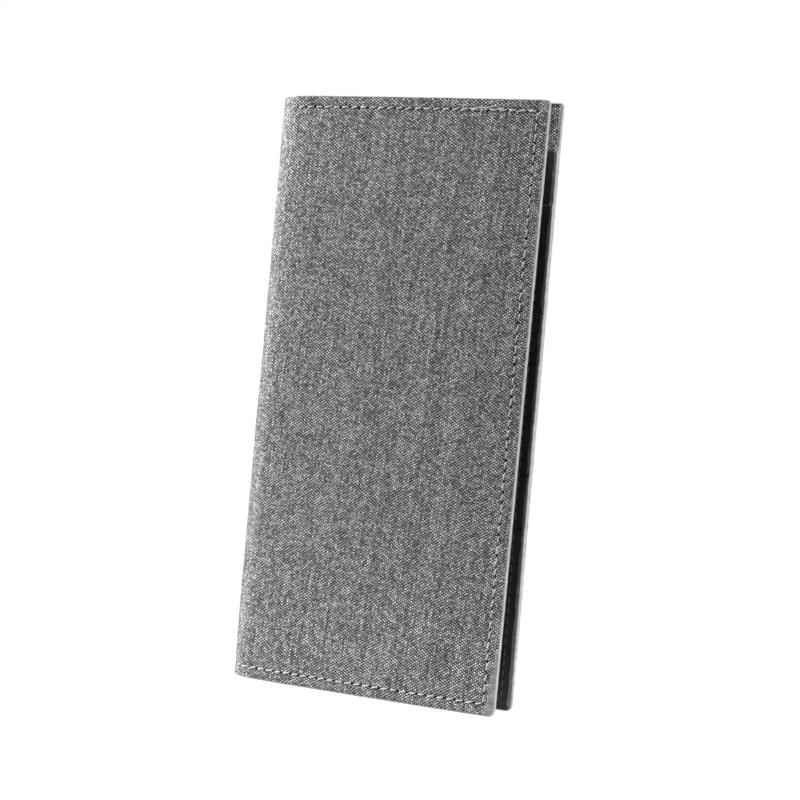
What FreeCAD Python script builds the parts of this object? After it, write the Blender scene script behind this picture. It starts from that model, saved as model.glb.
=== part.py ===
"""A long bifold wallet of woven canvas, standing on its short edge and a few millimetres open.

Frame: +Z up, +X from the folded spine to the fore-edge, -Y out of the front cover. The origin is
under the middle of the wallet, on the surface that it stands on. Every piece of a leaf is drawn in
the frame of the shut wallet, with the fold's outermost line at X = 0, and its placement then swings
it open about that leaf's own fold line.
"""
import FreeCAD, Part
import math
import os
import Sketcher
from FreeCAD import Placement, Rotation, Vector

FRONT = -1
REAR = 1
LEAF_NAMES = {FRONT: "front", REAR: "rear"}
MOST_RIM_LEFT = 0.2     # a rim holds less than this share of the plate that it is cut from
UP = Vector(0, 0, 1)
ALONG_X = Vector(1, 0, 0)

doc = FreeCAD.newDocument("bifold_wallet")

# ---------------------------------------------------------------- driving dimensions, millimetres
SIZES = {
    "height": 195.0,            # along the fold
    "width": 100.0,             # fold to fore-edge
    "spine_depth": 10.0,        # across the rolled fold, outside to outside
    "roll_reach": 8.5,          # from the fold's outermost line to where the covers become flat
    "opening_angle": 2.0,       # between the two leaves as the wallet stands, degrees
    "corner_radius": 2.0,
    "fold_gap": 0.5,            # between a leaf's stiff layers and the fold's own
    "leaf_depth": 2.8,          # one leaf, outside of the cover to the outermost pocket
    "canvas": 0.6,
    "board": 0.4,
    "board_inset": 1.0,         # the board stops short of the painted edge
    "lining": 0.15,
    "note_gap": 0.1,            # the empty banknote compartment between lining and inner panel
    "inner_panel": 0.3,
    "edge_coat": 0.5,           # painted edge, outward from the cut layers
    "edge_coat_depth": 1.75,    # painted edge, from the cover's outside to past the inner panel
    "pocket_cloth": 0.15,
    "pocket_clearance": 0.02,
    "pocket_cut": 56.0,         # height of one pocket strip: a payment card's width and a seam
    "last_mouth": 58.4,         # lowest pocket mouth above the bottom edge
    "mouth_spacing": 17.3,
    "rear_pockets": 8,
    "front_pockets": 5,
    "stitch_inset": 3.85,       # seam line inside the outer edge
    "stitch_length": 2.3,
    "thread_width": 0.45,
    "thread_rise": 0.2,
    "edge_stitches": 56,        # along the fore-edge
    "end_stitches": 26,         # along the top or bottom edge of one leaf
    "fold_stitches": 6,         # over the fold
}

sheet = doc.addObject("Spreadsheet::Sheet", "Sizes")
for row, (alias, number) in enumerate(SIZES.items(), start=1):
    sheet.set(f"A{row}", alias)
    sheet.set(f"B{row}", str(number))
    sheet.setAlias(f"B{row}", alias)
doc.recompute()

# Depths of a leaf's layers, counted inward from the outside of its cover.
BOARD_TOP = "Sizes.canvas"
LINING_TOP = f"{BOARD_TOP} + Sizes.board"
GAP_TOP = f"{LINING_TOP} + Sizes.lining"
PANEL_TOP = f"{GAP_TOP} + Sizes.note_gap"
POCKET_TOP = f"{PANEL_TOP} + Sizes.inner_panel + Sizes.pocket_clearance"

LEAF_START = "Sizes.roll_reach + Sizes.fold_gap"
FIRST_MOUTH = "Sizes.last_mouth + (Sizes.rear_pockets - 1) * Sizes.mouth_spacing"
POCKET_FOOT = "Sizes.last_mouth - Sizes.pocket_cut"
POCKET_WIDTH = f"Sizes.width - Sizes.edge_coat - ({LEAF_START})"
HALF_SPINE = "Sizes.spine_depth / 2"
ARCH_SUM = f"(Sizes.roll_reach + {HALF_SPINE})"
ARCH_DIFFERENCE = f"((Sizes.roll_reach - {HALF_SPINE}) / (sqrt(2) - 1))"
TIP_RADIUS = f"({ARCH_SUM} - {ARCH_DIFFERENCE}) / 2"
FLANK_RADIUS = f"({ARCH_SUM} + {ARCH_DIFFERENCE}) / 2"

parts = []


def size(expression):
    """The number that an expression over the sheet comes to."""
    value = sheet.evalExpression(expression)
    return float(getattr(value, "Value", value))


def centred():
    """Moves the fold's outermost line from X = 0 to half the width behind the origin."""
    return Placement(Vector(-size("Sizes.width") / 2, 0, 0), Rotation())


def leaf_placement(side):
    """Swings a leaf open by half the opening angle about its own fold line.

    The fold line is where a strip that bends around the roll and then lies flat would turn, so the
    cover keeps its length when the wallet is opened out.
    """
    fold = Vector(size(f"{ARCH_SUM} * (1 - pi / 4) / 2"), 0, 0)
    half_arch = size(f"{ARCH_SUM} * pi / 4")
    fold.y = side * (size(HALF_SPINE) + half_arch - size("Sizes.roll_reach")) / 2
    swing = Rotation(UP, side * size("Sizes.opening_angle") / 2)
    return centred() * Placement(Vector(), swing, fold)


# ---------------------------------------------------------------- sketch and feature helpers
def new_body(label, placement):
    """An empty body for one piece."""
    body = doc.addObject("PartDesign::Body", label)
    body.Label = label
    body.Placement = placement
    parts.append(body)
    return body


def new_sketch(body, role):
    """A sketch on one of the body's three main planes."""
    sketch = body.newObject("Sketcher::SketchObject", "Sketch")
    plane = next(item for item in body.Origin.OriginFeatures if item.Role == role)
    sketch.AttachmentSupport = [(plane, "")]
    sketch.MapMode = "FlatFace"
    return sketch


def layer_sketch(body, side, near, far):
    """A sketch on a layer's face that looks along +Y; the layer lies from depth near to depth far."""
    sketch = new_sketch(body, "XZ_Plane")
    depth = f"{near} - {HALF_SPINE}" if side == REAR else f"{HALF_SPINE} - ({far})"
    sketch.setExpression("AttachmentOffset.Base.z", depth)
    return sketch


def drive(sketch, kind, where, expression):
    """Add a dimension whose value comes from the sheet."""
    value = size(expression)
    index = sketch.addConstraint(Sketcher.Constraint(kind, *where, value))
    sketch.setExpression(f"Constraints[{index}]", expression)


def pad(body, sketch, length):
    """Raises a sketch by a length given as an expression."""
    feature = body.newObject("PartDesign::Pad", "Pad")
    feature.Profile = sketch
    feature.setExpression("Length", length)
    return feature


def line(sketch, x1, y1, x2, y2):
    """A straight edge."""
    return sketch.addGeometry(Part.LineSegment(Vector(x1, y1, 0), Vector(x2, y2, 0)))


def arc(sketch, x, y, radius, start, end):
    """An arc about a centre, between two angles in degrees."""
    circle = Part.Circle(Vector(x, y, 0), UP, radius)
    return sketch.addGeometry(Part.ArcOfCircle(circle, math.radians(start), math.radians(end)))


def draw_rectangle(sketch, left, low, across, tall):
    """A rectangle given by its lower left corner and its two sides, as expressions."""
    x1, y1 = size(left), size(low)
    x2, y2 = x1 + size(across), y1 + size(tall)
    bottom = line(sketch, x1, y1, x2, y1)
    right = line(sketch, x2, y1, x2, y2)
    top = line(sketch, x2, y2, x1, y2)
    shut = line(sketch, x1, y2, x1, y1)
    for first, second in ((bottom, right), (right, top), (top, shut), (shut, bottom)):
        sketch.addConstraint(Sketcher.Constraint("Coincident", first, 2, second, 1))
    for flat in (bottom, top):
        sketch.addConstraint(Sketcher.Constraint("Horizontal", flat))
    for upright in (right, shut):
        sketch.addConstraint(Sketcher.Constraint("Vertical", upright))
    drive(sketch, "DistanceX", (-1, 1, bottom, 1), left)
    drive(sketch, "DistanceY", (-1, 1, bottom, 1), low)
    drive(sketch, "DistanceX", (bottom, 1, bottom, 2), across)
    drive(sketch, "DistanceY", (right, 1, right, 2), tall)


def draw_leaf(sketch, left, inset):
    """A leaf's outline, square at the fold and rounded at the two fore-edge corners."""
    x1, x2 = size(left), size(f"Sizes.width - ({inset})")
    y1, y2 = size(inset), size(f"Sizes.height - ({inset})")
    radius = size(f"Sizes.corner_radius - ({inset})")
    bottom = line(sketch, x1, y1, x2 - radius, y1)
    low_corner = arc(sketch, x2 - radius, y1 + radius, radius, -90, 0)
    fore = line(sketch, x2, y1 + radius, x2, y2 - radius)
    high_corner = arc(sketch, x2 - radius, y2 - radius, radius, 0, 90)
    top = line(sketch, x2 - radius, y2, x1, y2)
    fold = line(sketch, x1, y2, x1, y1)
    for first, second in ((bottom, low_corner), (low_corner, fore), (fore, high_corner), (high_corner, top)):
        sketch.addConstraint(Sketcher.Constraint("Tangent", first, 2, second, 1))
    for first, second in ((top, fold), (fold, bottom)):
        sketch.addConstraint(Sketcher.Constraint("Coincident", first, 2, second, 1))
    for flat in (bottom, top):
        sketch.addConstraint(Sketcher.Constraint("Horizontal", flat))
    for upright in (fore, fold):
        sketch.addConstraint(Sketcher.Constraint("Vertical", upright))
    sketch.addConstraint(Sketcher.Constraint("Equal", low_corner, high_corner))
    drive(sketch, "DistanceX", (-1, 1, bottom, 1), left)
    drive(sketch, "DistanceY", (-1, 1, bottom, 1), inset)
    drive(sketch, "DistanceX", (-1, 1, fore, 1), f"Sizes.width - ({inset})")
    drive(sketch, "DistanceY", (-1, 1, top, 1), f"Sizes.height - ({inset})")
    drive(sketch, "Radius", (low_corner,), f"Sizes.corner_radius - ({inset})")


def draw_half_arch(sketch, depth):
    """Half of the roll's outline at one depth: a wide flank arc that runs into a tight tip arc."""
    flank, tip = size(f"{FLANK_RADIUS} - ({depth})"), size(f"{TIP_RADIUS} - ({depth})")
    flank_y = size(f"{HALF_SPINE} - ({FLANK_RADIUS})")
    side_arc = arc(sketch, size("Sizes.roll_reach"), flank_y, flank, 90, 135)
    tip_arc = arc(sketch, size(TIP_RADIUS), 0, tip, 135, 180)
    return side_arc, tip_arc


def draw_arch_band(sketch, near, far):
    """Half of a layer of the roll, from the flat cover to the fold's outermost line."""
    outer_side, outer_tip = draw_half_arch(sketch, near)
    inner_side, inner_tip = draw_half_arch(sketch, far)
    reach, half = size("Sizes.roll_reach"), size(HALF_SPINE)
    cover_end = line(sketch, reach, half - size(near), reach, half - size(far))
    tip_end = line(sketch, size(near), 0, size(far), 0)
    for side_arc, tip_arc in ((outer_side, outer_tip), (inner_side, inner_tip)):
        sketch.addConstraint(Sketcher.Constraint("Tangent", side_arc, 2, tip_arc, 1))
        sketch.addConstraint(Sketcher.Constraint("PointOnObject", tip_arc, 3, -1))
        sketch.addConstraint(Sketcher.Constraint("Vertical", side_arc, 1, side_arc, 3))
    for end, point, side_arc, tip_arc in ((1, 1, outer_side, outer_tip), (2, 2, inner_side, inner_tip)):
        sketch.addConstraint(Sketcher.Constraint("Coincident", cover_end, end, side_arc, 1))
        sketch.addConstraint(Sketcher.Constraint("Coincident", tip_end, point, tip_arc, 2))
    sketch.addConstraint(Sketcher.Constraint("Vertical", cover_end))
    sketch.addConstraint(Sketcher.Constraint("PointOnObject", tip_end, 1, -1))
    sketch.addConstraint(Sketcher.Constraint("PointOnObject", tip_end, 2, -1))
    drive(sketch, "DistanceX", (-1, 1, cover_end, 1), "Sizes.roll_reach")
    drive(sketch, "DistanceY", (-1, 1, cover_end, 1), f"{HALF_SPINE} - ({near})")
    drive(sketch, "DistanceY", (cover_end, 2, cover_end, 1), f"{far} - ({near})")
    drive(sketch, "Radius", (outer_tip,), f"{TIP_RADIUS} - ({near})")
    drive(sketch, "Radius", (inner_tip,), f"{TIP_RADIUS} - ({far})")


# ---------------------------------------------------------------- the pieces of a leaf
def flat_layer(side, name, left, inset, near, far):
    """One flat sheet of a leaf, between two depths under its cover's outside."""
    body = new_body(f"{LEAF_NAMES[side]}_{name}", leaf_placement(side))
    sketch = layer_sketch(body, side, near, far)
    draw_leaf(sketch, left, inset)
    pad(body, sketch, f"{far} - ({near})")


def edge_coat(side):
    """The painted edge: a rim around the three open sides of a leaf."""
    body = new_body(f"{LEAF_NAMES[side]}_edge_coat", leaf_placement(side))
    rim = layer_sketch(body, side, "0", "Sizes.edge_coat_depth")
    draw_leaf(rim, LEAF_START, "0")
    solid = pad(body, rim, "Sizes.edge_coat_depth")
    doc.recompute()
    uncut = solid.Shape.Volume
    core = layer_sketch(body, side, "0", "Sizes.edge_coat_depth")
    draw_leaf(core, "Sizes.roll_reach - Sizes.fold_gap", "Sizes.edge_coat")
    cut = body.newObject("PartDesign::Pocket", "Pocket")
    cut.Profile = core
    cut.Type = "ThroughAll"
    cut.Reversed = True
    doc.recompute()
    if cut.Shape.Volume > MOST_RIM_LEFT * uncut:
        raise RuntimeError(f"{body.Label}: the rim was not cut out")
    return body


def deepen_fore_edge(body, side):
    """Carry the paint of the fore-edge inward over the side edges of the card pockets."""
    sketch = new_sketch(body, "YZ_Plane")
    sketch.setExpression("AttachmentOffset.Base.z", "Sizes.width - Sizes.edge_coat")
    taper_top = f"{FIRST_MOUTH} + Sizes.edge_coat_depth"
    corners = [("0", "Sizes.corner_radius"),
               ("Sizes.edge_coat_depth", "Sizes.corner_radius"),
               ("Sizes.leaf_depth", "Sizes.last_mouth"),
               ("Sizes.leaf_depth", FIRST_MOUTH),
               ("Sizes.edge_coat_depth", taper_top),
               ("Sizes.edge_coat_depth", "Sizes.height - Sizes.corner_radius"),
               ("0", "Sizes.height - Sizes.corner_radius")]
    points = [(side * size(f"{HALF_SPINE} - {depth}"), size(height)) for depth, height in corners]
    edges = [line(sketch, *start, *end) for start, end in zip(points, points[1:] + points[:1])]
    for first, second in zip(edges, edges[1:] + edges[:1]):
        sketch.addConstraint(Sketcher.Constraint("Coincident", first, 2, second, 1))
    for edge, (depth, height) in zip(edges, corners):
        across = (-1, 1, edge, 1) if side == REAR else (edge, 1, -1, 1)
        drive(sketch, "DistanceX", across, f"{HALF_SPINE} - {depth}")
        drive(sketch, "DistanceY", (-1, 1, edge, 1), height)
    pad(body, sketch, "Sizes.edge_coat")


def pocket_tilt(base):
    """The lean of shingled pocket strips that fill the depth between their base and the leaf's face."""
    rise = size(f"Sizes.leaf_depth - Sizes.pocket_clearance - Sizes.pocket_cloth - ({base})")
    return math.degrees(math.asin(rise / size("Sizes.pocket_cut")))


def pocket_strip(side, number, foot_height, base):
    """One strip of pocket cloth: its mouth at the top, its foot against the layer behind."""
    name = f"card_pocket_{number}"
    strip = doc.addObject("Part::Box", f"{LEAF_NAMES[side]}_{name}")
    strip.Label = f"{LEAF_NAMES[side]}_{name}"
    strip.setExpression("Length", POCKET_WIDTH)
    strip.setExpression("Width", "Sizes.pocket_cloth")
    strip.setExpression("Height", "Sizes.pocket_cut")
    deep = size(f"{HALF_SPINE} - ({base})")
    foot = Vector(size(LEAF_START), side * deep, foot_height)
    lean = Rotation(ALONG_X, side * pocket_tilt(base))
    inward = Placement(Vector(0, -size("Sizes.pocket_cloth") if side == REAR else 0, 0), Rotation())
    strip.Placement = leaf_placement(side) * Placement(foot, lean) * inward
    parts.append(strip)


def card_pockets(side, count, base):
    """A ladder of equal pocket strips; the last one's foot is caught in the bottom seam."""
    for number in range(1, count + 1):
        climb = (count - number) * size("Sizes.mouth_spacing")
        pocket_strip(side, number, size(POCKET_FOOT) + climb, base)


def seam_thread(side):
    """The visible stitches of one leaf: a run down the fore-edge and one along each end."""
    body = new_body(f"{LEAF_NAMES[side]}_seam_thread", leaf_placement(side))
    body.AllowCompound = True
    edge_run = "(Sizes.height - 2 * Sizes.stitch_inset)"
    end_run = f"(Sizes.width - Sizes.stitch_inset - ({LEAF_START}))"
    edge_pitch = f"({edge_run} / Sizes.edge_stitches)"
    end_pitch = f"({end_run} / Sizes.end_stitches)"
    seam_x = "Sizes.width - Sizes.stitch_inset - Sizes.thread_width / 2"
    first_z = f"Sizes.stitch_inset + ({edge_pitch} - Sizes.stitch_length) / 2"
    first_x = f"{LEAF_START} + ({end_pitch} - Sizes.stitch_length) / 2"
    low_z = "Sizes.stitch_inset - Sizes.thread_width / 2"
    high_z = "Sizes.height - Sizes.stitch_inset - Sizes.thread_width / 2"
    long, wide = "Sizes.stitch_length", "Sizes.thread_width"
    stitch_run(body, side, (seam_x, first_z, wide, long), "V_Axis", edge_pitch, "Sizes.edge_stitches")
    for z in (low_z, high_z):
        stitch_run(body, side, (first_x, z, long, wide), "H_Axis", end_pitch, "Sizes.end_stitches")


def stitch_run(body, side, first, axis, pitch, count):
    """One stitch lying on the cover, repeated along a straight seam."""
    sketch = layer_sketch(body, side, "-Sizes.thread_rise", "0")
    draw_rectangle(sketch, *first)
    stitch = pad(body, sketch, "Sizes.thread_rise")
    doc.recompute()
    run = body.newObject("PartDesign::LinearPattern", "Run")
    run.Originals = [stitch]
    run.Direction = (sketch, [axis])
    run.setExpression("Length", f"{pitch} * ({count} - 1)")
    run.setExpression("Occurrences", count)
    body.Tip = run
    doc.recompute()


def make_leaf(side, pocket_count, has_slip_pocket, has_deep_edge):
    """All the pieces of one leaf, from the cover inwards."""
    coat = "Sizes.edge_coat"
    flat_layer(side, "cover_canvas", LEAF_START, coat, "0", BOARD_TOP)
    flat_layer(side, "backing_board", f"{LEAF_START} + Sizes.board_inset",
               f"{coat} + Sizes.board_inset", BOARD_TOP, LINING_TOP)
    flat_layer(side, "cover_lining", LEAF_START, coat, LINING_TOP, GAP_TOP)
    flat_layer(side, "inner_panel", LEAF_START, coat, PANEL_TOP,
               f"{PANEL_TOP} + Sizes.inner_panel")
    base = POCKET_TOP
    if has_slip_pocket:
        slip_pocket(side, base)
        base = f"{base} + Sizes.pocket_cloth + Sizes.pocket_clearance"
    card_pockets(side, pocket_count, base)
    rim = edge_coat(side)
    if has_deep_edge:
        deepen_fore_edge(rim, side)
    seam_thread(side)


def slip_pocket(side, base):
    """A flat, nearly full-height pocket behind the card pockets."""
    body = new_body(f"{LEAF_NAMES[side]}_slip_pocket", leaf_placement(side))
    sketch = layer_sketch(body, side, base, f"{base} + Sizes.pocket_cloth")
    draw_rectangle(sketch, LEAF_START, POCKET_FOOT, POCKET_WIDTH, f"{FIRST_MOUTH} - ({POCKET_FOOT})")
    pad(body, sketch, "Sizes.pocket_cloth")


# ---------------------------------------------------------------- the fold
def arch_layer(label, near, far, tall, *lows):
    """A layer that bends around the roll, with one stretch of it starting at each height in lows."""
    body = new_body(label, centred())
    body.AllowCompound = True
    halves = []
    for low in lows:
        sketch = new_sketch(body, "XY_Plane")
        sketch.setExpression("AttachmentOffset.Base.z", low)
        draw_arch_band(sketch, near, far)
        halves.append(pad(body, sketch, tall))
        doc.recompute()
    whole = body.newObject("PartDesign::Mirrored", "Mirrored")
    whole.Originals = halves
    whole.MirrorPlane = (sketch, ["H_Axis"])
    body.Tip = whole


def place_on_arch(distance):
    """The roll's outer surface at a distance along it from its outermost line, and the outward turn."""
    tip, flank = size(TIP_RADIUS), size(FLANK_RADIUS)
    side = math.copysign(1, distance)
    travelled = abs(distance)
    tip_length = tip * math.pi / 4
    if travelled <= tip_length:
        turn = travelled / tip
        centre = Vector(tip, 0, 0)
        radius = tip
    else:
        turn = math.pi / 4 + (travelled - tip_length) / flank
        centre = Vector(size("Sizes.roll_reach"), side * (size(HALF_SPINE) - flank), 0)
        radius = flank
    outward = Vector(-math.cos(turn), side * math.sin(turn), 0)
    return centre + outward * radius, outward


def fold_thread():
    """The seam's stitches over the fold, at the top and at the bottom."""
    thread = doc.addObject("Part::Feature", "spine_seam_thread")
    thread.Label = "spine_seam_thread"
    length, width, rise = size("Sizes.stitch_length"), size("Sizes.thread_width"), size("Sizes.thread_rise")
    count = int(size("Sizes.fold_stitches"))
    pitch = size(f"2 * {ARCH_SUM} * pi / 4") / count
    stitches = []
    for seam_z in (size("Sizes.stitch_inset"), size("Sizes.height - Sizes.stitch_inset")):
        for number in range(count):
            point, outward = place_on_arch((number + 0.5 - count / 2) * pitch)
            stitch = Part.makeBox(rise, length, width, Vector(0, -length / 2, -width / 2))
            turn = math.degrees(math.atan2(outward.y, outward.x))
            stitch.Placement = Placement(point + UP * seam_z, Rotation(UP, turn))
            stitches.append(stitch)
    thread.Shape = Part.makeCompound(stitches)
    thread.Placement = centred()
    parts.append(thread)


def make_fold():
    """The pieces that run around the roll between the two leaves."""
    inner_height = "Sizes.height - 2 * Sizes.edge_coat"
    canvas = "Sizes.canvas"
    lined = "Sizes.canvas + Sizes.lining"
    arch_layer("spine_canvas", "0", canvas, inner_height, "Sizes.edge_coat")
    arch_layer("spine_lining", canvas, lined, inner_height, "Sizes.edge_coat")
    arch_layer("spine_edge_coat", "0", lined, "Sizes.edge_coat", "0", "Sizes.height - Sizes.edge_coat")
    fold_thread()


# ---------------------------------------------------------------- build, check and write
make_leaf(REAR, int(size("Sizes.rear_pockets")), has_slip_pocket=False, has_deep_edge=True)
make_fold()
make_leaf(FRONT, int(size("Sizes.front_pockets")), has_slip_pocket=True, has_deep_edge=False)
doc.recompute()

for item in doc.Objects:
    if "Invalid" in item.State or "Error" in item.State:
        raise RuntimeError(f"{item.Label} did not build: {item.State}")

os.makedirs("parts", exist_ok=True)
for part in parts:
    if part.Shape.isNull() or not part.Shape.isValid() or not part.Shape.Solids:
        raise RuntimeError(f"{part.Label} has no sound solid")
    part.Shape.exportStep(f"parts/{part.Label}.step")
    box = part.Shape.BoundBox
    print(f"{part.Label}: {len(part.Shape.Solids)} solids, {part.Shape.Volume:.1f} mm3,"
          f" x {box.XMin:.2f}..{box.XMax:.2f} y {box.YMin:.2f}..{box.YMax:.2f}"
          f" z {box.ZMin:.2f}..{box.ZMax:.2f}")
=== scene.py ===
import math

import bpy
import numpy as np
from mathutils import Matrix, Vector


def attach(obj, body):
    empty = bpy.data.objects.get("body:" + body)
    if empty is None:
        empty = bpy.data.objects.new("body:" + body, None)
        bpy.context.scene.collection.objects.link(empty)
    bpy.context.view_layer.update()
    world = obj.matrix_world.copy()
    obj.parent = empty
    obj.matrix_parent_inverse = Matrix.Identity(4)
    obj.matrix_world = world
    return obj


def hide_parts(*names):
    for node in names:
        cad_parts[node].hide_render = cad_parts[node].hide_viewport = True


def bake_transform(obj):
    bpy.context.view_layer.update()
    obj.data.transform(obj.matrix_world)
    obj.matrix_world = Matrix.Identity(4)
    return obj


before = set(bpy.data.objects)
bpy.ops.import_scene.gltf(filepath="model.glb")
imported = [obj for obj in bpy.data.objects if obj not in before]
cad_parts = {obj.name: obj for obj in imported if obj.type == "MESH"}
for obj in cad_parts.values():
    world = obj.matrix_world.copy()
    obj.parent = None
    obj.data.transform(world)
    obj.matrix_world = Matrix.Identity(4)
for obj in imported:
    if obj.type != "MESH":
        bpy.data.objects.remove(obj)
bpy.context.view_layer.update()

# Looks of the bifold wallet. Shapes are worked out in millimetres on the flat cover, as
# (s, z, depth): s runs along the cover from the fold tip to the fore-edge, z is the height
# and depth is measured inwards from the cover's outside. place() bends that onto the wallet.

# ---- sizes of the wallet, in millimetres
HEIGHT = 195.0
WIDTH = 100.0
SPINE_DEPTH = 10.0
ROLL_REACH = 8.5
OPENING = math.radians(2.0)
LOW_CORNER = 2.3
HIGH_CORNER = 1.5
LEAF_START = 9.0
CUT_INSET = 0.4

CANVAS = 0.6
BOARD = (0.62, 0.98)
LINING = (1.0, 1.15)
PANEL = (1.25, 1.55)
SLIP = (1.57, 1.72)
BOARD_INSET = 1.5
COAT_DEPTH = 1.78
FOLD_COAT_DEPTH = 1.2
LEAF_DEPTH = 2.8
LAYER_GAP = 0.02

POCKET_CLOTH = 0.15
POCKET_CUT = 56.0
POCKET_HEM = 7.0
FIRST_FOOT = 2.4
LOWEST_FOOT = 0.5
MOUTH_SPACING = 17.3
REAR_POCKETS = 8
FRONT_POCKETS = 5
LAST_MOUTH = 179.5

STITCH_PITCH = 3.36
STITCH_LENGTH = 2.35
SEAM_INSET = 3.85
END_STITCHES = 26
EDGE_STITCHES = 56
FOLD_STITCHES = 3
STITCH_SLANT = math.radians(12.0)
BACK_TACK_STITCHES = 8
TAIL_START = 76.0
TAIL_LENGTH = 8.2
PLY_OFFSET = 0.10
HOLE_HALF_LENGTH = 0.56
HOLE_HALF_WIDTH = 0.36

# pitches of the yarns along s and z
CANVAS_PITCH = (0.702, 0.476)
POCKET_PITCH = (0.32, 0.26)
LINING_PITCH = (0.24, 0.30)

# how the leaves depart from flat and square, and where the cover's bow starts and is fullest
TWIST = 0.67
REAR_SKEW = 0.73
UNEVENNESS = 0.16
SWELL = 2.0
SWELL_START = 4.0
SWELL_RISE = 7.0
SWELL_TOP = 20.0

# paint on the cover's face: the usual lap, the smear at the top corner, the low front patch
FACE_LAP = 0.10
CORNER_LAP = 1.1
PATCH_WIDTH = 2.8
PATCH_HEIGHT = 24.0

# the mouth of a card pocket
HEM_THICKNESS = 0.09
MOUTH_SAG = 0.25
CARD_POCKET_BOW = 0.12
SLIP_POCKET_BOW = 0.10

SHEET_UV = 100.0
MM = 0.001
TINT = -0.026

# ---- the fold: a tight arc at the tip and a slack one behind, that meet at 45 degrees
MEAN_REACH = ROLL_REACH + SPINE_DEPTH / 2
ROLL_LENGTH = MEAN_REACH * math.pi / 4
HINGE_X = MEAN_REACH * (1 - math.pi / 4) / 2
HINGE_Y = (SPINE_DEPTH / 2 + ROLL_LENGTH - ROLL_REACH) / 2
ARC_DIFFERENCE = (ROLL_REACH - SPINE_DEPTH / 2) / (math.sqrt(2) - 1)
TIP_RADIUS = (MEAN_REACH - ARC_DIFFERENCE) / 2
SLACK_RADIUS = (MEAN_REACH + ARC_DIFFERENCE) / 2
TIP_LENGTH = TIP_RADIUS * math.pi / 4
EDGE_S = WIDTH - ROLL_REACH + ROLL_LENGTH
LEAF_S = LEAF_START - ROLL_REACH + ROLL_LENGTH
SEAM_S = EDGE_S - SEAM_INSET

FRONT = -1
REAR = 1
SIDE_NAME = {FRONT: "front", REAR: "rear"}


def smooth(t):
    """Smooth step from 0 to 1."""
    t = np.clip(t, 0.0, 1.0)
    return t * t * (3 - 2 * t)


def ripple(a, b, wavelength, seed, waves=7):
    """Smooth wandering noise between about -1 and 1 over the plane (a, b)."""
    draw = np.random.RandomState(seed)
    total = 0.0
    for _ in range(waves):
        turn = draw.uniform(0, 2 * math.pi)
        length = wavelength * draw.uniform(0.7, 1.6)
        phase = draw.uniform(0, 2 * math.pi)
        total = total + np.sin(2 * math.pi * (a * math.cos(turn) + b * math.sin(turn)) / length + phase)
    return total / math.sqrt(waves)


def shut_profile(s, depth):
    """x and y of the shut wallet's half, for points s along the cover and depth inside it."""
    at_tip = s < TIP_LENGTH
    turn = np.where(at_tip, s / TIP_RADIUS, math.pi / 4 + (s - TIP_LENGTH) / SLACK_RADIUS)
    turn = np.minimum(turn, math.pi / 2)
    centre_x = np.where(at_tip, TIP_RADIUS, ROLL_REACH)
    centre_y = np.where(at_tip, 0.0, SPINE_DEPTH / 2 - SLACK_RADIUS)
    radius = np.where(at_tip, TIP_RADIUS, SLACK_RADIUS) - depth
    flat = s > ROLL_LENGTH
    x = np.where(flat, ROLL_REACH + s - ROLL_LENGTH, centre_x - radius * np.cos(turn))
    y = np.where(flat, SPINE_DEPTH / 2 - depth, centre_y + radius * np.sin(turn))
    return x, y


def sway(side, s, z):
    """Slow unevenness that all the layers of a leaf share, outwards, in millimetres."""
    settled = smooth((s - 3) / 25) * (1 - 0.6 * smooth((s - 80) / 22))
    grown = 1 - np.exp(-(np.maximum(s - SWELL_START, 0) / SWELL_RISE) ** 1.5)
    bow = 1 - np.clip((s - SWELL_TOP) / (EDGE_S - SWELL_TOP), 0, 1) ** 2.5
    return settled * UNEVENNESS * ripple(s, z, 85.0, 40 + side) + SWELL * grown * bow


def place(side, s, z, depth):
    """Bends flat points onto the wallet, standing and slightly open. The result is in metres."""
    s, z, depth = np.broadcast_arrays(s, z, depth)
    x, y = shut_profile(s, depth - sway(side, s, z))
    swing = OPENING / 2 * smooth(s / (ROLL_LENGTH + 0.5))
    from_x, from_y = x - HINGE_X, y - HINGE_Y
    x = HINGE_X + from_x * np.cos(swing) - from_y * np.sin(swing)
    y = HINGE_Y + from_x * np.sin(swing) + from_y * np.cos(swing)
    along = np.clip((x - HINGE_X) / (WIDTH - HINGE_X), 0, 1)
    y = y + TWIST * along * (1 - 2 * z / HEIGHT)
    if side == REAR:
        z = z + REAR_SKEW * s / EDGE_S
    return np.stack([x - WIDTH / 2, side * y, z], -1) * MM


# ---- meshes
def add_object(name, data):
    """A new object in the scene."""
    made = bpy.data.objects.new(name, data)
    bpy.context.scene.collection.objects.link(made)
    return made


def new_object(name, points, faces, uv, material, sharp=None):
    """A smooth mesh with its UV map. sharp holds pairs of vertices that a hard edge joins."""
    mesh = bpy.data.meshes.new(name)
    mesh.from_pydata(points.tolist(), [], faces.tolist())
    mesh.shade_smooth()
    corners = np.empty(len(mesh.loops), np.int32)
    mesh.loops.foreach_get("vertex_index", corners)
    layer = mesh.uv_layers.new(name="cloth")
    layer.data.foreach_set("uv", (uv[corners] / SHEET_UV).astype(np.float32).ravel())
    if sharp is not None:
        pairs = np.empty(len(mesh.edges) * 2, np.int32)
        mesh.edges.foreach_get("vertices", pairs)
        pairs = np.sort(pairs.reshape(-1, 2), 1).astype(np.int64)
        hard = np.sort(sharp, 1).astype(np.int64)
        count = len(points)
        marked = np.isin(pairs[:, 0] * count + pairs[:, 1], hard[:, 0] * count + hard[:, 1])
        flag = mesh.attributes.new("sharp_edge", "BOOLEAN", "EDGE")
        flag.data.foreach_set("value", marked)
    mesh.materials.append(material)
    mesh.validate()
    return add_object(name, mesh)


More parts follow.
